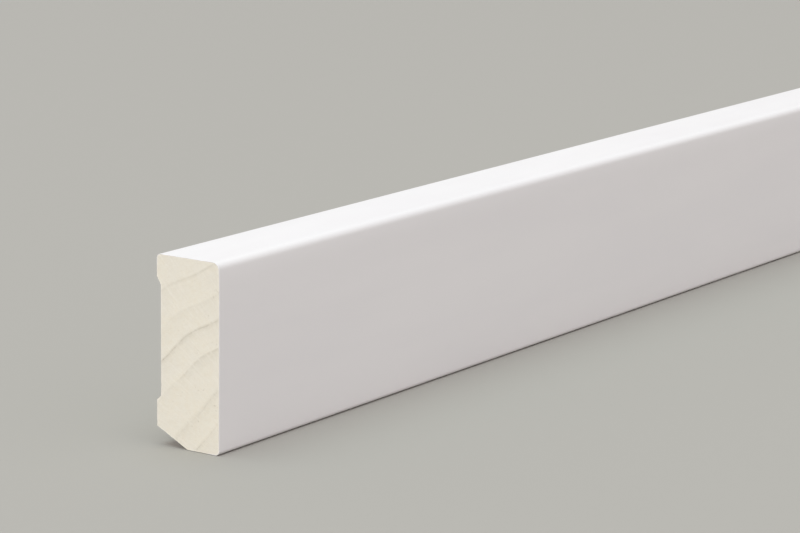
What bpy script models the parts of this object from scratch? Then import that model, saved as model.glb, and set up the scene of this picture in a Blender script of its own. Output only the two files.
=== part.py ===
"""A length of skirting board: one piece of solid timber, moulded to one cross-section and sawn square
at both ends, lacquered white on its top and front and left bare on its ends, back and underside.

X runs along the wall, +Y points into the wall and +Z points up. The origin is in the plane of the
wall, halfway along the board, in the middle of the lower of the two lands that bear on the wall."""

import math

import bmesh
import bpy
from mathutils import Matrix, Vector

# Overall sizes, in metres
LENGTH = 0.360
HEIGHT = 0.050
THICKNESS = 0.020

# Radii of the eased edges
TOP_FRONT_RADIUS = 0.0020
TOP_BACK_RADIUS = 0.0012
FOOT_FRONT_RADIUS = 0.0012

# The back bears on the wall with two lands, and a shallow hollow lies between them
HOLLOW_DEPTH = 0.0013
TOP_LAND = 0.0058  # from the top edge down to the hollow
TOP_SHOULDER = 0.0022  # height of the slope from the top land into the hollow
FOOT_LAND = 0.0069  # from the heel cut up to the hollow
FOOT_SHOULDER = 0.0012  # height of the slope from the foot land into the hollow

# The heel cut takes the lower back corner off, so that the foot clears a rough joint of wall and floor
HEEL_RUN = 0.0098  # along the floor
HEEL_RISE = 0.0049  # up the wall

# Levels of the floor and the top edge, from the middle of the foot land
FLOOR_LEVEL = -FOOT_LAND / 2 - HEEL_RISE
TOP_LEVEL = FLOOR_LEVEL + HEIGHT

# One flat of a faceted arc turns by no more than this
ARC_STEP = math.radians(7.5)

WELD_DISTANCE = 1e-6

# An edge is shaded sharp where the surface turns by more than this
SHARP_TURN = math.radians(20)

# A face looks in a direction when its normal has more than this share in it
FACING = 0.01

# Linear colours, roughness and metallic value of the two finishes
FINISHES = {
    "white_lacquer": ((0.86, 0.86, 0.86), 0.35, 0.0),
    "bare_timber": ((0.78, 0.70, 0.55), 0.75, 0.0),
}


def clear_scene():
    for old in list(bpy.data.objects):
        bpy.data.objects.remove(old)


def make_material(name):
    """A Principled material of the named finish."""
    colour, roughness, metallic = FINISHES[name]
    material = bpy.data.materials.new(name)
    material.use_nodes = True
    shader = material.node_tree.nodes["Principled BSDF"]
    shader.inputs["Base Color"].default_value = (*colour, 1.0)
    shader.inputs["Roughness"].default_value = roughness
    shader.inputs["Metallic"].default_value = metallic
    return material


def corners():
    """Each corner of the cross-section as its place (y, z) and its radius, from the front foot round by
    the back and the top."""
    wall = 0
    front = -THICKNESS
    hollow = -HOLLOW_DEPTH
    hollow_foot = FOOT_LAND / 2
    hollow_top = TOP_LEVEL - TOP_LAND
    return [
        (Vector((front, FLOOR_LEVEL)), FOOT_FRONT_RADIUS),
        (Vector((-HEEL_RUN, FLOOR_LEVEL)), 0),
        (Vector((wall, -FOOT_LAND / 2)), 0),
        (Vector((wall, hollow_foot)), 0),
        (Vector((hollow, hollow_foot + FOOT_SHOULDER)), 0),
        (Vector((hollow, hollow_top - TOP_SHOULDER)), 0),
        (Vector((wall, hollow_top)), 0),
        (Vector((wall, TOP_LEVEL)), TOP_BACK_RADIUS),
        (Vector((front, TOP_LEVEL)), TOP_FRONT_RADIUS),
    ]


def round_corner(before, corner, after, radius):
    """Points of the arc that meets both sides of a corner, or the corner itself where it is sharp."""
    if radius == 0:
        return [corner]
    to_before = (before - corner).normalized()
    to_after = (after - corner).normalized()
    half_angle = to_before.angle(to_after) / 2
    centre = corner + (to_before + to_after).normalized() * radius / math.sin(half_angle)
    spoke = corner + to_before * radius / math.tan(half_angle) - centre
    turn = math.pi - 2 * half_angle
    steps = math.ceil(turn / ARC_STEP)
    return [centre + Matrix.Rotation(turn * step / steps, 2) @ spoke for step in range(steps + 1)]


def outline():
    """Every point of the cross-section, anticlockwise as seen from the +X end."""
    places, radii = zip(*corners())
    points = []
    for index, place in enumerate(places):
        before = places[index - 1]
        after = places[(index + 1) % len(places)]
        points += round_corner(before, place, after, radii[index])
    return points


def make_outline_curve():
    """The cross-section as a filled 2D curve, extruded to the board's length along X."""
    points = outline()
    curve = bpy.data.curves.new("cross_section", "CURVE")
    curve.dimensions = "2D"
    curve.fill_mode = "BOTH"
    curve.extrude = LENGTH / 2
    spline = curve.splines.new("POLY")
    spline.points.add(len(points) - 1)
    for place, point in zip(points, spline.points):
        point.co = (place.x, place.y, 0, 1)
    spline.use_cyclic_u = True
    guide = bpy.data.objects.new("cross_section", curve)
    guide.rotation_euler = (math.radians(90), 0, math.radians(90))
    bpy.context.scene.collection.objects.link(guide)
    bpy.context.view_layer.update()
    return guide


def is_lacquered(face):
    """The lacquer covers the front and the top, with the eased edges that border them."""
    in_top_edge = face.calc_center_median().z > TOP_LEVEL - TOP_BACK_RADIUS
    return face.normal.y < -FACING or (in_top_edge and face.normal.z > FACING)


def mesh_from(guide):
    """The evaluated curve as one closed mesh in world space, with a finish chosen for each face."""
    evaluated = guide.evaluated_get(bpy.context.evaluated_depsgraph_get())
    mesh = bpy.data.meshes.new_from_object(evaluated)
    mesh.transform(guide.matrix_world)
    mesh.materials.clear()
    for finish in FINISHES:
        mesh.materials.append(make_material(finish))
    solid = bmesh.new()
    solid.from_mesh(mesh)
    bmesh.ops.remove_doubles(solid, verts=solid.verts, dist=WELD_DISTANCE)
    bmesh.ops.recalc_face_normals(solid, faces=solid.faces)
    for face in solid.faces:
        face.material_index = 0 if is_lacquered(face) else 1
    solid.to_mesh(mesh)
    solid.free()
    mesh.shade_smooth()
    mesh.set_sharp_from_angle(angle=SHARP_TURN)
    return mesh


def make_board(collection):
    guide = make_outline_curve()
    board = bpy.data.objects.new("skirting_board", mesh_from(guide))
    board.data.name = "skirting_board"
    collection.objects.link(board)
    bpy.data.objects.remove(guide)
    return board


def main():
    clear_scene()
    collection = bpy.data.collections.new("Skirting board")
    bpy.context.scene.collection.children.link(collection)
    make_board(collection)


main()
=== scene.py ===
"""The looks of a length of skirting board: pale solid timber, sawn square at both ends, with a satin
white lacquer on its top and front that stops unevenly on its underside and back.

Lengths are in millimetres unless a name or comment says otherwise, in the board's own frame: X along
the wall, +Y into the wall, +Z up, with the origin in the wall's plane, in the middle of the lower of
the two lands that bear on the wall."""

import math

import bmesh
import bpy
import numpy as np
from mathutils import Matrix, Vector, geometry, noise


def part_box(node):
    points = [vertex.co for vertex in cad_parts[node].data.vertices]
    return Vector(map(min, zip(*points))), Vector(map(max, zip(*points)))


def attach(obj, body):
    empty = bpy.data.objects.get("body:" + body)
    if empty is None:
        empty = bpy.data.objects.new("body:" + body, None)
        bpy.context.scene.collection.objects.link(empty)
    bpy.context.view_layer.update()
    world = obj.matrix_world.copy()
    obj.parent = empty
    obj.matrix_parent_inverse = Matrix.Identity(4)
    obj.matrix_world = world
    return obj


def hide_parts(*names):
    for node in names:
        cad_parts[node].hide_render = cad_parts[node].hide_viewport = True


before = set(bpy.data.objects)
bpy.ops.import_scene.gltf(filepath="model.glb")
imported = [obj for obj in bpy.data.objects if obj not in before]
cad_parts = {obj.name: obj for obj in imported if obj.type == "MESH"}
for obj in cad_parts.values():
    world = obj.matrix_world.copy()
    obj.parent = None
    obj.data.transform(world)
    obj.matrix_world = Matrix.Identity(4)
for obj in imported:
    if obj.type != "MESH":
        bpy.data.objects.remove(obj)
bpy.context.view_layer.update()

MM = 0.001  # metres in a millimetre

low, high = (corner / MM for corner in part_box("skirting_board"))

# Radii of the eased edges
TOP_FRONT_RADIUS = 2.0
TOP_BACK_RADIUS = 1.2
FOOT_FRONT_RADIUS = 1.2
ARRIS_RADIUS = 0.25  # what the planing leaves of a sharp corner

# Sanding has relaxed the front below its top edge: it leans back a little, from a very wide bend
RELAXED_HEIGHT = 4.0
RELAXED_LEAN = 0.28
RELAXED_RADIUS = 50.0

# The two lands on the back, the hollow between them and the heel cut
HOLLOW_DEPTH = 1.3
TOP_LAND = 5.8
TOP_SHOULDER = 2.2
FOOT_LAND = 6.9
FOOT_SHOULDER = 1.2
HEEL_RUN = 9.8
HEEL_RISE = 4.9

# The board stands on the high spots of its foot, this far above the floor elsewhere
FOOT_GAP = 0.12

# The lacquer's thickness, and how far it runs on past the eased edges. Its reach is how far a place
# lies inside the lacquer's edge, and is negative on bare timber
FILM = 0.08
FILM_UNDERFOOT = 2.4
FILM_DOWN_BACK = 1.6
REACH_LIMIT = 3.0  # further than this inside the lacquer's edge, nothing changes any more
REACH_IN_TIMBER = -3.0  # on the sawn ends, inside the film

# Spacing of the mesh: round the section, along the board and over the sawn ends
ROUND_STEP = 0.9
ALONG_STEP = 1.6
END_STEP = 0.34
ARC_TURN = math.radians(8)
LEAST_ARC_STEPS = 3
ROWS_NEAR_END = (0.35, 0.7, 1.2, 1.9)  # distances from a sawn end of the first rows of the mesh
WELD_DISTANCE = 1e-6

# The sawn ends begin with the film's cut edge, at least this wide. The timber starts this far inside
# the film, and its staggered points this far
RIM_LEAST = 0.02
RIM_INSET = 0.06
GRID_INSET = 0.24

# An edge is shaded sharp where the surface turns by more than this
SHARP_TURN = math.radians(30)

# The timber's pith lies outside the board, in front of its foot, and drifts along its length
PITH = Vector((-84.0, -40.0))  # Y and Z at the low X end
PITH_DRIFT = Vector((0.010, -0.028))  # for each millimetre of X

# Two waves that bend the rings out of round: height, length, heading in degrees from +Y towards +Z,
# how far along X the wave shifts by one length, and phase in degrees at the low X end
RING_WAVES = (
    (0.30, 18.5, 145.0, 250.0, 213.0),
    (3.80, 72.0, 180.0, 1100.0, 305.0),
)

# Each growth ring's latewood line: radius, width of its soft side towards the pith and of its outer
# side, and darkness in the plane of the front and in the plane of the wall
RINGS = (
    (71.2, 0.9, 0.40, 0.45, 0.45),
    (78.6, 0.7, 0.40, 0.20, 1.30),
    (83.1, 1.3, 0.55, 0.58, 0.32),
    (90.6, 2.4, 0.30, 0.60, 0.15),
    (95.9, 1.0, 0.40, 0.95, 0.95),
    (100.6, 1.1, 0.35, 0.42, 0.20),
    (106.6, 0.5, 0.22, 1.15, 0.45),
    (115.0, 0.8, 0.40, 0.40, 0.40),
    (120.7, 0.7, 0.40, 0.60, 0.60),
    (126.2, 0.9, 0.40, 0.50, 0.50),
)
RING_SPAN = (60.0, 130.0)
EARLYWOOD_SHADE = 0.20  # darkness that the earlywood reaches before the next latewood line
RING_WOBBLE = 0.25
LAST_CELLS = 1.15  # added darkness of the dashed line of dense cells where a ring ends

# The rays, measured where they are this far from the pith
RAY_RADIUS = 100.0
RAY_SPACING = 0.24
RAY_LENGTH = 5.0
RAY_HEIGHT = 1.4

# Relief of the bare timber, and of the lacquer over it
RING_RELIEF = 0.018
FIBRE_RELIEF = 0.012
FILM_RELIEF = 0.006
RELIEF_FADE = 1.5  # past the lacquer's edge, the timber's relief rises to its full height over this

# The marks of the blade that cut the ends. Its axle is in front of the board's foot and below it, by
# these shares of its radius
SAW_RELIEF = 0.014
SAW_RADIUS = 125.0
SAW_AXLE_AHEAD = 0.55
SAW_AXLE_BELOW = 0.80
SAW_PITCH = 1.15
SAW_CHATTER = 2.2  # in radians

# What the saw took off the arris of each end: everywhere, and besides at the deepest nicks. These
# lie where noise, times their steepness, passes their rarity
ARRIS_LOSS = 0.03
NICK_DEPTH = 0.07
NICK_SIZE = 0.7
NICK_STEEPNESS = 2.2
NICK_RARITY = 0.35
NICK_SEED = 23.0

# Linear colours of the timber and the lacquer
SAPWOOD = (0.795, 0.765, 0.660, 1.0)
LATEWOOD = (0.545, 0.510, 0.415, 1.0)
WARM_STREAK = (0.770, 0.720, 0.595, 1.0)
GREY_STREAK = (0.770, 0.745, 0.660, 1.0)
# A pale fibre colour. The ray cells are drawn towards it, and so is the rim of each sawn end, which is
# partly fuzz of torn fibres and partly a painted highlight along the arris
PALE_FIBRE_AND_RIM_HIGHLIGHT = (0.850, 0.820, 0.735, 1.0)
FLECK = (0.400, 0.345, 0.260, 1.0)
LACQUER = (0.86, 0.86, 0.86, 1.0)
LACQUER_CLOUD = (0.845, 0.845, 0.848, 1.0)

# How strongly each feature tints the timber, and how much stronger the figure is on the sides
STREAK_TINT = 0.55
PATCH_TINT = 0.50
RING_TINT = 0.58
FIBRE_TINT = 0.17
PORE_TINT = 0.30
RAY_TINT = 0.28
FLECK_TINT = 0.45
# How far each sawn end's rim is drawn paler: partly torn fibre fuzz, partly a painted highlight where the
# arris would catch the light
RIM_FUZZ_AND_HIGHLIGHT_TINT = 0.40
SIDE_FIGURE = 1.6

# Heights in the shaders' bump
FIBRE_BUMP = 0.030
PORE_BUMP = -0.030
RING_BUMP = 0.012
PLANER_BUMP = 0.0022
PLANER_PITCH = 1.7
PLANER_DRIFT = 9.0  # in radians
SPRAY_BUMP = 0.0035
GRAIN_TRACE_BUMP = 0.0030
FILM_BUMP = 0.05

# The lacquer's edge: how far it wanders and frays, and the overspray beyond it
EDGE_WANDER = 2.2
EDGE_FRAY = 0.9
MIST_WANDER = 5.0
MIST_REACH = 3.4
MIST_COVER = 0.55
SPECKLE_SHARE = 0.7

# The floor, in metres
FLOOR_RADIUS = 12.0
FLOOR_SIDES = 96
FLOOR_COLOUR = (0.395, 0.385, 0.355, 1.0)
FLOOR_ROUGHNESS = 0.9

# The camera's place in metres, from the foot of the lacquered front at the low X end, and how it is
# turned, in degrees
CAMERA_FROM_NEAR_FOOT = Vector((-0.6157, -0.47039, 0.21467))
CAMERA_YAW = 34.037
CAMERA_PITCH = 12.030
CAMERA_ROLL = 0.806
CAMERA_LENS = 142.25
CAMERA_SENSOR = 36

# Light from all round
SKY_COLOUR = (1.0, 0.898, 0.914, 1.0)
SKY_STRENGTH = 0.69


def section_corners():
    """Each corner of the cross-section as its place (y, z) and its radius, from the front foot round by
    the back and the top."""
    hollow = high.y - HOLLOW_DEPTH
    heel = low.z + HEEL_RISE
    hollow_foot = heel + FOOT_LAND
    hollow_top = high.z - TOP_LAND
    return [
        (Vector((low.y, low.z)), FOOT_FRONT_RADIUS),
        (Vector((high.y - HEEL_RUN, low.z)), ARRIS_RADIUS),
        (Vector((high.y, heel)), ARRIS_RADIUS),
        (Vector((high.y, hollow_foot)), ARRIS_RADIUS),
        (Vector((hollow, hollow_foot + FOOT_SHOULDER)), ARRIS_RADIUS),
        (Vector((hollow, hollow_top - TOP_SHOULDER)), ARRIS_RADIUS),
        (Vector((high.y, hollow_top)), ARRIS_RADIUS),
        (Vector((high.y, high.z)), TOP_BACK_RADIUS),
        (Vector((low.y + RELAXED_LEAN, high.z)), TOP_FRONT_RADIUS),
        (Vector((low.y, high.z - RELAXED_HEIGHT)), RELAXED_RADIUS),
    ]


def round_corner(before, corner, after, radius):
    """Points of the arc that meets both sides of a corner, whichever way it turns."""
    to_before = (before - corner).normalized()
    to_after = (after - corner).normalized()
    half_angle = to_before.angle(to_after) / 2
    centre = corner + (to_before + to_after).normalized() * radius / math.sin(half_angle)
    spoke = corner + to_before * radius / math.tan(half_angle) - centre
    turn = math.copysign(math.pi - 2 * half_angle, to_after.cross(to_before))
    steps = max(LEAST_ARC_STEPS, math.ceil(abs(turn) / ARC_TURN))
    return [centre + Matrix.Rotation(turn * step / steps, 2) @ spoke for step in range(steps + 1)]


def divided(start, end):
    """Points between two ends of a flat, without the ends."""
    steps = math.ceil((end - start).length / ROUND_STEP)
    return [start.lerp(end, step / steps) for step in range(1, steps)]


def section_outline():
    """The cross-section as an array of points (y, z), anticlockwise as seen from +X, with the flats
    divided into short steps."""
    places, radii = zip(*section_corners())
    points = []
    for index, place in enumerate(places):
        arc = round_corner(places[index - 1], place, places[(index + 1) % len(places)], radii[index])
        if points:
            points += divided(points[-1], arc[0])
        points += arc
    points += divided(points[-1], points[0])
    return np.array([tuple(point) for point in points])


def outward(points):
    """The outward unit normal at each point of a closed outline."""
    along = np.roll(points, -1, axis=0) - np.roll(points, 1, axis=0)
    normals = np.stack([along[:, 1], -along[:, 0]], axis=1)
    return normals / np.linalg.norm(normals, axis=1)[:, None]


def film_reach(points):
    """The lacquer's reach at each point of the outline, measured round it. The film runs from underfoot,
    up the front and over the top."""
    lengths = np.linalg.norm(np.roll(points, -1, axis=0) - points, axis=1)
    run = np.concatenate([[0], np.cumsum(lengths)[:-1]])
    around = lengths.sum()
    foot_end = np.argmin(np.hypot(points[:, 0] - (low.y + FOOT_FRONT_RADIUS), points[:, 1] - low.z))
    top_end = np.argmin(np.hypot(points[:, 0] - high.y, points[:, 1] - (high.z - TOP_BACK_RADIUS)))
    underfoot = run[foot_end] + FILM_UNDERFOOT
    down_back = run[top_end] - FILM_DOWN_BACK
    past_foot = underfoot - run
    past_back = run - down_back
    past_foot = np.where(past_foot < -around / 2, past_foot + around, past_foot)
    return np.minimum(np.maximum(past_foot, past_back), REACH_LIMIT)


def ring_waves():
    """Each wave that bends the rings: its height, its turns for each millimetre of X, Y and Z, and its
    phase in radians."""
    for height, length, heading, shift, phase in RING_WAVES:
        heading = math.radians(heading)
        turns = Vector((1 / shift, math.cos(heading) / length, math.sin(heading) / length))
        yield height, turns, math.radians(phase)


def ring_radius(x, y, z):
    """Distance from the pith, bent by the ring waves."""
    from_end = x - low.x
    across = y - PITH.x - PITH_DRIFT.x * from_end
    up = z - PITH.y - PITH_DRIFT.y * from_end
    radius = np.hypot(across, up)
    for height, turns, phase in ring_waves():
        angle = 2 * math.pi * (turns.x * from_end + turns.y * y + turns.z * z) + phase
        radius = radius + height * np.sin(angle)
    return radius


def ring_stops():
    """The rings as radii, their darknesses at front and wall, and how near their last cells are, for
    straight lines between them."""
    stops = []
    for radius, inner, outer, at_front, at_wall in RINGS:
        shade = min(EARLYWOOD_SHADE, at_front, at_wall)
        stops += [
            (radius - inner, shade, shade, 0.0),
            (radius, at_front, at_wall, 1.0),
            (radius + outer, 0.0, 0.0, 0.0),
        ]
    return stops


def ring_tone(x, y, z):
    """Darkness of the growth rings, from 0 to 1."""
    radii, at_front, at_wall, _ = zip(*ring_stops())
    radius = ring_radius(x, y, z)
    depth = (y - low.y) / (high.y - low.y)
    tone = np.interp(radius, radii, at_front) * (1 - depth) + np.interp(radius, radii, at_wall) * depth
    return np.minimum(tone, 1.0)


def roughly(x, y, z, along, across, seed):
    """Smooth noise from -1 to 1, of the given sizes along and across the grain."""
    places = zip(x / along + seed, y / across, z / across)
    return np.array([noise.noise(Vector(place)) for place in places])


def from_0_to_1(wave):
    """Moves a wave from the range -1 to 1 to the range 0 to 1."""
    return 0.5 + 0.5 * wave


def side_relief(x, y, z, film):
    """How far the sides lie below their nominal surface: raised grain on bare timber, next to none under
    the lacquer."""
    bare = np.clip(-film / RELIEF_FADE, 0.0, 1.0)
    rings = ring_tone(x, y, z)
    grain = from_0_to_1(roughly(x, y, z, along=30.0, across=0.9, seed=11.0))
    under_film = from_0_to_1(roughly(x, y, z, along=45.0, across=6.0, seed=5.0))
    timber = RING_RELIEF * (1 - rings) + FIBRE_RELIEF * grain
    return bare * timber + (1 - bare) * FILM_RELIEF * under_film


def end_relief(x, y, z):
    """How far a sawn end lies below its nominal plane: the blade's arcs, proud rings and torn fibres."""
    ahead = y - low.y + SAW_AXLE_AHEAD * SAW_RADIUS
    above = z - low.z + SAW_AXLE_BELOW * SAW_RADIUS
    turns = np.hypot(ahead, above) / SAW_PITCH
    beat = roughly(x, y, z, along=40.0, across=7.0, seed=3.0)
    arcs = from_0_to_1(np.sin(2 * math.pi * turns + SAW_CHATTER * beat))
    rings = ring_tone(x, y, z)
    fibres = from_0_to_1(roughly(x, y, z, along=30.0, across=0.55, seed=17.0))
    return SAW_RELIEF * arcs + RING_RELIEF * (1 - rings) + FIBRE_RELIEF * fibres


def nicks(points, x, sign):
    """How much of each point's arris the saw took off at the end that faces along -X or +X."""
    y, z = points.T
    chance = roughly(np.full(len(points), x), y, z, along=1.0, across=NICK_SIZE, seed=NICK_SEED + sign)
    nicked = np.clip(chance * NICK_STEEPNESS - NICK_RARITY, 0.0, 1.0)
    return ARRIS_LOSS + NICK_DEPTH * nicked


class BoardMesh:
    """Gathers the board's vertices, with their finish, and its faces."""

    def __init__(self):
        self.places = []
        self.film = []
        self.end = []
        self.depth = []
        self.faces = []

    def add_points(self, x, y, z, film, end, depth):
        """Adds points and returns their numbers."""
        first = len(self.places)
        count = len(y)
        self.places += list(zip(np.broadcast_to(x, count), y, z))
        self.film += list(np.broadcast_to(film, count))
        self.end += list(np.broadcast_to(end, count))
        self.depth += list(np.broadcast_to(depth, count))
        return np.arange(first, first + count)

    def bridge(self, ring, next_ring):
        """Joins two closed rings of points with quads."""
        for a, b, c, d in zip(ring, np.roll(ring, -1), np.roll(next_ring, -1), next_ring):
            self.faces.append((int(a), int(b), int(c), int(d)))


def distance_to_outline(points, outline):
    """Each point's distance from a closed outline."""
    nearest = np.full(len(points), np.inf)
    for start, end in zip(outline, np.roll(outline, -1, axis=0)):
        run = end - start
        share = np.clip((points - start) @ run / (run @ run), 0.0, 1.0)
        nearest = np.minimum(nearest, np.linalg.norm(points - start - share[:, None] * run, axis=1))
    return nearest


def inside(points, outline):
    """Whether each point lies inside a closed outline."""
    crossings = np.zeros(len(points), int)
    for (y0, z0), (y1, z1) in zip(outline, np.roll(outline, -1, axis=0)):
        spans = (points[:, 1] < z0) != (points[:, 1] < z1)
        if z0 != z1:
            where = y0 + (points[:, 1] - z0) * (y1 - y0) / (z1 - z0)
            crossings += spans & (points[:, 0] < where)
    return crossings % 2 == 1


def end_grid(outline, clearance):
    """Staggered points over a sawn end, clear of its outline, and their distances from it."""
    row_step = END_STEP * math.sqrt(3) / 2
    points = []
    for row in range(math.ceil((high.z - low.z) / row_step)):
        shift = END_STEP / 2 if row % 2 else 0.0
        for column in range(math.ceil((high.y - low.y) / END_STEP)):
            points.append((low.y + shift + column * END_STEP, low.z + row * row_step))
    points = np.array(points)
    points = points[inside(points, outline)]
    distances = distance_to_outline(points, outline)
    kept = distances > clearance
    return points[kept], distances[kept]


def add_rims(board, outline, normals, film, x, sign):
    """Adds the rims of a sawn end, inward from its arris: both sides of the film's cut edge, and the
    timber's. Returns the numbers of each rim's points."""
    taken = nicks(outline, x, sign)
    film_edge = np.maximum(FILM, taken + RIM_LEAST)
    rims = []
    for inset, reach in ((taken, film), (film_edge, film), (FILM + RIM_INSET, REACH_IN_TIMBER)):
        rim = outline - normals * np.broadcast_to(inset, len(outline))[:, None]
        sunk = end_relief(np.full(len(rim), x), *rim.T) if rims else np.zeros(len(rim))
        depth = np.broadcast_to(inset, len(rim))
        rims.append(board.add_points(x - sign * sunk, rim[:, 0], rim[:, 1], reach, 1.0, depth))
    return rims


def add_end(board, outline, normals, film, side_ring, x, sign):
    """Closes one sawn end: a nicked arris, the film's cut edge and the timber inside it."""
    rims = add_rims(board, outline, normals, film, x, sign)
    rings = [side_ring, *rims]
    for ring, next_ring in zip(rings, rings[1:]):
        board.bridge(*((ring, next_ring) if sign > 0 else (next_ring, ring)))
    inner, distances = end_grid(outline, FILM + GRID_INSET)
    sunk = end_relief(np.full(len(inner), x), *inner.T)
    numbers = board.add_points(
        x - sign * sunk, inner[:, 0], inner[:, 1], REACH_IN_TIMBER, 1.0, distances
    )
    rim_numbers = rims[-1]
    rim_places = [Vector(board.places[number][1:]) for number in rim_numbers]
    places = rim_places + [Vector(point) for point in inner]
    loop = [list(range(len(rim_places)))]
    _, _, triangles, origins, _, _ = geometry.delaunay_2d_cdt(places, [], loop, 1, WELD_DISTANCE)
    all_numbers = np.concatenate([rim_numbers, numbers])
    number_of = [int(all_numbers[first]) for first, *_ in origins]
    for triangle in triangles:
        corners = tuple(number_of[corner] for corner in triangle)
        board.faces.append(corners if sign > 0 else corners[::-1])


def row_places():
    """X of every row of the sides between the sawn ends."""
    last = ROWS_NEAR_END[-1]
    length = high.x - low.x
    steps = math.ceil((length - 2 * last) / ALONG_STEP)
    middle = [last + (length - 2 * last) * step / steps for step in range(steps + 1)]
    rows = [*ROWS_NEAR_END[:-1], *middle, *(length - row for row in reversed(ROWS_NEAR_END[:-1]))]
    return [low.x + row for row in rows]


def make_board():
    """The whole board as one closed mesh."""
    outline = section_outline()
    normals = outward(outline)
    film = film_reach(outline)
    board = BoardMesh()
    rings = []
    for sign, x in [(-1, low.x), *((0, row) for row in row_places()), (1, high.x)]:
        across = np.full(len(outline), x)
        if sign:
            across = x - sign * nicks(outline, x, sign)
        sunk = side_relief(across, *outline.T, film)
        places = outline - normals * sunk[:, None]
        rings.append(board.add_points(across, places[:, 0], places[:, 1], film, 0.0, 0.0))
    for ring, next_ring in zip(rings, rings[1:]):
        board.bridge(ring, next_ring)
    add_end(board, outline, normals, film, rings[0], low.x, -1)
    add_end(board, outline, normals, film, rings[-1], high.x, 1)
    return board_object(board)


def board_object(board):
    """The gathered mesh as an object, with its finish as attributes of its points."""
    mesh = bpy.data.meshes.new("board_surface")
    mesh.from_pydata([tuple(c * MM for c in place) for place in board.places], [], board.faces)
    for name, values in (("film", board.film), ("end", board.end), ("depth", board.depth)):
        attribute = mesh.attributes.new(name, "FLOAT", "POINT")
        attribute.data.foreach_set("value", np.array(values, np.float32))
    mesh.shade_smooth()
    mesh.set_sharp_from_angle(angle=SHARP_TURN)
    piece = bpy.data.objects.new("board_surface", mesh)
    bpy.context.scene.collection.objects.link(piece)
    return piece


def put(tree, value, socket):
    """Links a socket's value, or sets a plain one."""
    if isinstance(value, bpy.types.NodeSocket):
        tree.links.new(value, socket)
    else:
        socket.default_value = value


def calc(tree, operation, *values):
    """A sum, product or the like of plain values."""
    node = tree.nodes.new("ShaderNodeMath")
    node.operation = operation
    for value, socket in zip(values, node.inputs):
        put(tree, value, socket)
    return node.outputs[0]


def vector_calc(tree, operation, *values):
    """A sum, product or the like of vectors."""
    node = tree.nodes.new("ShaderNodeVectorMath")
    node.operation = operation
    for value, socket in zip(values, node.inputs):
        put(tree, value, socket)
    return node.outputs["Value" if operation in ("DOT_PRODUCT", "LENGTH") else "Vector"]


def total(tree, first, *others):
    """The sum of several values."""
    for other in others:
        first = calc(tree, "ADD", first, other)
    return first


def joined(tree, x, y, z):
    """A vector of three values."""
    node = tree.nodes.new("ShaderNodeCombineXYZ")
    for value, socket in zip((x, y, z), node.inputs):
        put(tree, value, socket)
    return node.outputs[0]


def separated(tree, vector):
    """The three values of a vector."""
    node = tree.nodes.new("ShaderNodeSeparateXYZ")
    put(tree, vector, node.inputs[0])
    return node.outputs


def span(tree, value, start, end, at_start=0.0, at_end=1.0, easing="SMOOTHSTEP"):
    """Takes a value's range from start to end to the range from at_start to at_end."""
    node = tree.nodes.new("ShaderNodeMapRange")
    node.interpolation_type = easing
    limits = {"From Min": start, "From Max": end, "To Min": at_start, "To Max": at_end}
    for name, limit in limits.items():
        node.inputs[name].default_value = limit
    put(tree, value, node.inputs["Value"])
    return node.outputs["Result"]


def noise_at(tree, vector, detail):
    """Noise from 0 to 1, with one lump for each unit of a vector."""
    node = tree.nodes.new("ShaderNodeTexNoise")
    node.inputs["Scale"].default_value = 1.0
    node.inputs["Detail"].default_value = detail
    put(tree, vector, node.inputs["Vector"])
    return node.outputs["Fac"]


def cloud(tree, places, along, across, detail=2.0, shift=0.0):
    """Noise from 0 to 1, of the given sizes in millimetres along and across the grain."""
    scaled = vector_calc(tree, "MULTIPLY", places, (1 / along, 1 / across, 1 / across))
    moved = vector_calc(tree, "ADD", scaled, (shift, shift, shift))
    return noise_at(tree, moved, detail)


def around_0(tree, value):
    """Moves a value from 0 to 1 down to the range from -0.5 to 0.5."""
    return calc(tree, "SUBTRACT", value, 0.5)


def blend_colour(tree, share, first, second):
    """A mix of two colours. Those sockets of the node are its seventh and eighth."""
    node = tree.nodes.new("ShaderNodeMix")
    node.data_type = "RGBA"
    put(tree, share, node.inputs[0])
    put(tree, first, node.inputs[6])
    put(tree, second, node.inputs[7])
    return node.outputs[2]


def blend_value(tree, share, first, second):
    """A mix of two values. Those sockets of the node are its third and fourth."""
    node = tree.nodes.new("ShaderNodeMix")
    put(tree, share, node.inputs[0])
    put(tree, first, node.inputs[2])
    put(tree, second, node.inputs[3])
    return node.outputs[0]


def tinted(tree, colour, mask, strength, tint):
    """A colour, drawn towards a tint as far as a mask and a strength say."""
    return blend_colour(tree, calc(tree, "MULTIPLY", mask, strength), colour, tint)


def named_value(tree, name):
    """An attribute of the mesh's points."""
    node = tree.nodes.new("ShaderNodeAttribute")
    node.attribute_name = name
    return node.outputs["Fac"]


def from_pith(tree, places):
    """How far each place lies from the pith, along Y and along Z."""
    drift = PITH_DRIFT
    across = calc(tree, "ADD", vector_calc(tree, "DOT_PRODUCT", places, (-drift.x, 1, 0)),
                  drift.x * low.x - PITH.x)
    up = calc(tree, "ADD", vector_calc(tree, "DOT_PRODUCT", places, (-drift.y, 0, 1)),
              drift.y * low.x - PITH.y)
    return across, up


def wavy_radius(tree, places, across, up):
    """Distance from the pith, bent by the ring waves and by finer wobbles."""
    radius = vector_calc(tree, "LENGTH", joined(tree, across, up, 0.0))
    for height, turns, phase in ring_waves():
        rate = turns * 2 * math.pi
        angle = calc(tree, "ADD", vector_calc(tree, "DOT_PRODUCT", places, rate), phase - rate.x * low.x)
        radius = calc(tree, "MULTIPLY_ADD", calc(tree, "SINE", angle), height, radius)
    wobble = around_0(tree, cloud(tree, places, 60.0, 2.6, detail=3.0, shift=4.0))
    return calc(tree, "MULTIPLY_ADD", wobble, RING_WOBBLE, radius)


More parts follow.
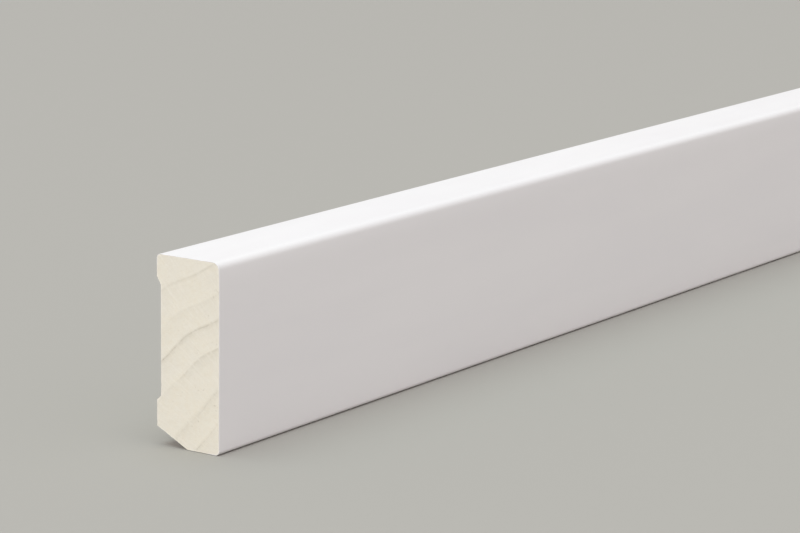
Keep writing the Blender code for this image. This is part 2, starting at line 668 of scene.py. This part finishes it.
def ring_ramp(tree, radius):
    """The rings' darkness at front and wall, and how near their last cells are, for a radius."""
    start, end = RING_SPAN
    ramp = tree.nodes.new("ShaderNodeValToRGB")
    put(tree, span(tree, radius, start, end, easing="LINEAR"), ramp.inputs[0])
    stops = ring_stops()
    elements = ramp.color_ramp.elements
    while len(elements) < len(stops):
        elements.new(1.0)
    for element, (place, at_front, at_wall, nearness) in zip(elements, stops):
        element.position = (place - start) / (end - start)
        element.color = (at_front, at_wall, nearness, 1.0)
    tones = tree.nodes.new("ShaderNodeSeparateColor")
    put(tree, ramp.outputs[0], tones.inputs[0])
    return tones.outputs[:3]


def ring_darkness(tree, places, across, up):
    """The same growth rings as the relief, as a darkness from 0 to 1, with finer wobbles and a thin
    broken line of denser cells where each ring ends."""
    at_front, at_wall, nearness = ring_ramp(tree, wavy_radius(tree, places, across, up))
    depth = span(tree, separated(tree, places)[1], low.y, high.y, easing="LINEAR")
    tone = calc(tree, "MINIMUM", blend_value(tree, depth, at_front, at_wall), 1.0)
    broken = cloud(tree, places, 50.0, 0.9, detail=3.0, shift=9.0)
    dashed = cloud(tree, places, 35.0, 1.5, detail=2.0, shift=51.0)
    last_cells = calc(
        tree,
        "MULTIPLY",
        span(tree, nearness, 0.70, 1.0, at_end=LAST_CELLS),
        span(tree, dashed, 0.42, 0.58, at_start=0.15),
    )
    strength = calc(tree, "ADD", span(tree, broken, 0.32, 0.66, 0.62, 1.12), last_cells)
    return calc(tree, "MULTIPLY", tone, strength)


def wood_rays(tree, places, across, up):
    """Fine bands of ray cells, which run straight out from the pith."""
    angle = calc(tree, "ARCTAN2", up, across)
    radius = vector_calc(tree, "LENGTH", joined(tree, across, up, 0.0))
    polar = joined(
        tree,
        calc(tree, "MULTIPLY", angle, RAY_RADIUS / RAY_SPACING),
        calc(tree, "MULTIPLY", radius, 1 / RAY_LENGTH),
        calc(tree, "MULTIPLY", separated(tree, places)[0], 1 / RAY_HEIGHT),
    )
    return span(tree, noise_at(tree, polar, detail=1.0), 0.50, 0.72)


def dark_flecks(tree, places):
    """Short dark marks, in scattered groups."""
    marks = span(tree, cloud(tree, places, 8.0, 0.60, detail=2.0, shift=63.0), 0.66, 0.74)
    groups = span(tree, cloud(tree, places, 45.0, 5.0, detail=1.0, shift=71.0), 0.50, 0.62)
    return calc(tree, "MULTIPLY", marks, groups)


def planer_marks(tree, places, end):
    """The height of the marks that the planer's knives left across the sides."""
    drift = cloud(tree, places, 25.0, 25.0, detail=1.0, shift=7.0)
    unsteady = calc(tree, "MULTIPLY", drift, PLANER_DRIFT)
    along = separated(tree, places)[0]
    knives = calc(tree, "SINE", calc(tree, "MULTIPLY_ADD", along, 2 * math.pi / PLANER_PITCH, unsteady))
    on_side = calc(tree, "SUBTRACT", 1.0, end)
    return calc(tree, "MULTIPLY", on_side, calc(tree, "MULTIPLY", knives, PLANER_BUMP))


def timber_finish(tree, places, end, depth):
    """The bare timber's colour, roughness and height."""
    across, up = from_pith(tree, places)
    rings = ring_darkness(tree, places, across, up)
    rays = wood_rays(tree, places, across, up)
    streaks = span(tree, cloud(tree, places, 90.0, 1.3, detail=4.0, shift=1.0), 0.35, 0.70)
    patches = span(tree, cloud(tree, places, 120.0, 7.0, detail=2.0, shift=21.0), 0.38, 0.66)
    fibres = cloud(tree, places, 9.0, 0.22, detail=3.0, shift=33.0)
    pores = span(tree, cloud(tree, places, 3.2, 0.12, detail=1.0, shift=45.0), 0.60, 0.72)
    figure = span(tree, end, 0.0, 1.0, SIDE_FIGURE, 1.0)
    # A pale band just inside each sawn end's outline: partly fuzz of fibres torn by the saw, partly a
    # painted highlight where the arris would catch the light
    rim = calc(tree, "MULTIPLY", span(tree, depth, 0.15, 0.55, 1.0, 0.0), end)

    streak_mask = calc(tree, "MULTIPLY", figure, streaks)
    ring_mask = calc(tree, "MULTIPLY", figure, rings)
    fibre_mask = calc(tree, "MULTIPLY", figure, span(tree, fibres, 0.35, 0.75))
    colour = tinted(tree, SAPWOOD, streak_mask, STREAK_TINT, WARM_STREAK)
    for mask, strength, tint in (
        (patches, PATCH_TINT, GREY_STREAK),
        (ring_mask, RING_TINT, LATEWOOD),
        (fibre_mask, FIBRE_TINT, LATEWOOD),
        (pores, PORE_TINT, LATEWOOD),
        (rays, RAY_TINT, PALE_FIBRE_AND_RIM_HIGHLIGHT),
        (dark_flecks(tree, places), FLECK_TINT, FLECK),
        # the sawn end's rim: torn fibre fuzz and a painted highlight along the arris
        (rim, RIM_FUZZ_AND_HIGHLIGHT_TINT, PALE_FIBRE_AND_RIM_HIGHLIGHT),
    ):
        colour = tinted(tree, colour, mask, strength, tint)

    roughness = span(tree, fibres, 0.3, 0.7, 0.66, 0.80)
    height = total(
        tree,
        planer_marks(tree, places, end),
        calc(tree, "MULTIPLY", fibres, FIBRE_BUMP),
        calc(tree, "MULTIPLY", pores, PORE_BUMP),
        calc(tree, "MULTIPLY", rings, RING_BUMP),
    )
    return colour, roughness, height


def lacquer_finish(tree, places):
    """The lacquer's colour, roughness and height: level, with a faint trace of the grain beneath and of
    the spray."""
    drift = span(tree, cloud(tree, places, 70.0, 12.0, detail=2.0, shift=3.0), 0.3, 0.7)
    colour = blend_colour(tree, drift, LACQUER, LACQUER_CLOUD)
    spray = cloud(tree, places, 1.4, 1.4, detail=2.0, shift=12.0)
    trace = cloud(tree, places, 40.0, 0.5, detail=3.0, shift=18.0)
    uneven = cloud(tree, places, 18.0, 5.0, detail=3.0, shift=27.0)
    roughness = span(tree, uneven, 0.3, 0.7, 0.30, 0.37)
    height = total(
        tree,
        calc(tree, "MULTIPLY", spray, SPRAY_BUMP),
        calc(tree, "MULTIPLY", trace, GRAIN_TRACE_BUMP),
    )
    return colour, roughness, height


def lacquer_cover(tree, places, end):
    """Where the solid film lies on the sides, and where any lacquer covers the timber."""
    film = named_value(tree, "film")
    wander = around_0(tree, cloud(tree, places, 11.0, 11.0, detail=3.0, shift=2.0))
    fray = around_0(tree, cloud(tree, places, 0.9, 0.35, detail=2.0, shift=6.0))
    edge = total(
        tree,
        film,
        calc(tree, "MULTIPLY", wander, EDGE_WANDER),
        calc(tree, "MULTIPLY", fray, EDGE_FRAY),
    )
    solid = span(tree, edge, -0.10, 0.16)
    mist_edge = calc(tree, "ADD", film, calc(tree, "MULTIPLY", wander, MIST_WANDER))
    mist = span(tree, mist_edge, -MIST_REACH, 0.2, at_end=MIST_COVER)
    speckle = span(tree, cloud(tree, places, 0.32, 0.26, detail=1.0, shift=15.0), 0.50, 0.66)
    drops = calc(tree, "MULTIPLY_ADD", speckle, SPECKLE_SHARE, 1 - SPECKLE_SHARE)
    misted = calc(tree, "MULTIPLY", mist, drops)
    misted = calc(tree, "MULTIPLY", misted, calc(tree, "SUBTRACT", 1.0, end))
    on_end = span(tree, film, -0.05, 0.05)
    return solid, blend_value(tree, end, calc(tree, "MAXIMUM", solid, misted), on_end)


def board_material():
    """Bare timber and the lacquer over it, in one material."""
    material = bpy.data.materials.new("white_lacquered_timber")
    material.use_nodes = True
    tree = material.node_tree
    shader = tree.nodes["Principled BSDF"]
    position = tree.nodes.new("ShaderNodeTexCoord").outputs["Object"]
    places = vector_calc(tree, "MULTIPLY", position, (1 / MM, 1 / MM, 1 / MM))
    end = named_value(tree, "end")
    depth = named_value(tree, "depth")
    solid, cover = lacquer_cover(tree, places, end)
    timber_colour, timber_roughness, timber_height = timber_finish(tree, places, end, depth)
    lacquer_colour, lacquer_roughness, lacquer_height = lacquer_finish(tree, places)
    put(tree, blend_colour(tree, cover, timber_colour, lacquer_colour), shader.inputs["Base Color"])
    put(tree, blend_value(tree, cover, timber_roughness, lacquer_roughness), shader.inputs["Roughness"])
    film_step = calc(tree, "MULTIPLY", solid, FILM_BUMP)
    height = calc(tree, "ADD", blend_value(tree, cover, timber_height, lacquer_height), film_step)
    bump = tree.nodes.new("ShaderNodeBump")
    bump.inputs["Distance"].default_value = MM
    put(tree, height, bump.inputs["Height"])
    put(tree, bump.outputs[0], shader.inputs["Normal"])
    return material


def floor_material():
    material = bpy.data.materials.new("pale_floor")
    material.use_nodes = True
    shader = material.node_tree.nodes["Principled BSDF"]
    shader.inputs["Base Color"].default_value = FLOOR_COLOUR
    shader.inputs["Roughness"].default_value = FLOOR_ROUGHNESS
    return material


def make_floor():
    """A plain floor at the board's foot, large enough to fill every view."""
    mesh = bpy.data.meshes.new("floor")
    shape = bmesh.new()
    bmesh.ops.create_circle(shape, cap_ends=True, radius=FLOOR_RADIUS, segments=FLOOR_SIDES)
    shape.to_mesh(mesh)
    shape.free()
    floor = bpy.data.objects.new("floor", mesh)
    floor.location.z = (low.z - FOOT_GAP) * MM
    floor.data.materials.append(floor_material())
    bpy.context.scene.collection.objects.link(floor)


def make_camera():
    """The camera, looking at the near end and along the front."""
    yaw, pitch, roll = (math.radians(angle) for angle in (CAMERA_YAW, CAMERA_PITCH, CAMERA_ROLL))
    ahead = Vector((math.cos(yaw) * math.cos(pitch), math.sin(yaw) * math.cos(pitch), -math.sin(pitch)))
    right = Vector((math.sin(yaw), -math.cos(yaw), 0))
    up = right.cross(ahead)
    rolled_right = right * math.cos(roll) + up * math.sin(roll)
    rolled_up = up * math.cos(roll) - right * math.sin(roll)
    camera = bpy.data.objects.new("camera", bpy.data.cameras.new("camera"))
    camera.data.lens = CAMERA_LENS
    camera.data.sensor_width = CAMERA_SENSOR
    turn = Matrix((rolled_right, rolled_up, -ahead)).transposed()
    near_foot = Vector((low.x, low.y, low.z)) * MM
    camera.matrix_world = Matrix.Translation(near_foot + CAMERA_FROM_NEAR_FOOT) @ turn.to_4x4()
    bpy.context.scene.collection.objects.link(camera)
    bpy.context.scene.camera = camera


def make_softbox(name, place, width, height, power, colour):
    """A rectangular lamp in metres and watts, turned towards the origin."""
    light = bpy.data.lights.new(name, "AREA")
    light.shape = "RECTANGLE"
    light.size = width
    light.size_y = height
    light.energy = power
    light.color = colour
    lamp = bpy.data.objects.new(name, light)
    lamp.location = place
    lamp.rotation_euler = (-Vector(place)).to_track_quat("-Z", "Y").to_euler()
    bpy.context.scene.collection.objects.link(lamp)


def make_lights():
    """Soft light from above, from the near end and from all round."""
    make_softbox(
        "top_softbox", place=(-0.9, 0.7, 8.0), width=7.2, height=7.2, power=336, colour=(0.80, 1.0, 0.986)
    )
    make_softbox(
        "end_softbox", place=(-9.2, -1.8, 4.0), width=5.2, height=4.8, power=472, colour=(1.0, 1.0, 1.0)
    )
    world = bpy.data.worlds.new("studio")
    world.use_nodes = True
    background = world.node_tree.nodes["Background"]
    background.inputs["Color"].default_value = SKY_COLOUR
    background.inputs["Strength"].default_value = SKY_STRENGTH
    bpy.context.scene.world = world
    bpy.context.scene.view_settings.view_transform = "Standard"


board = make_board()
board.data.materials.append(board_material())
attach(board, "root")
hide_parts("skirting_board")
make_floor()
make_camera()
make_lights()
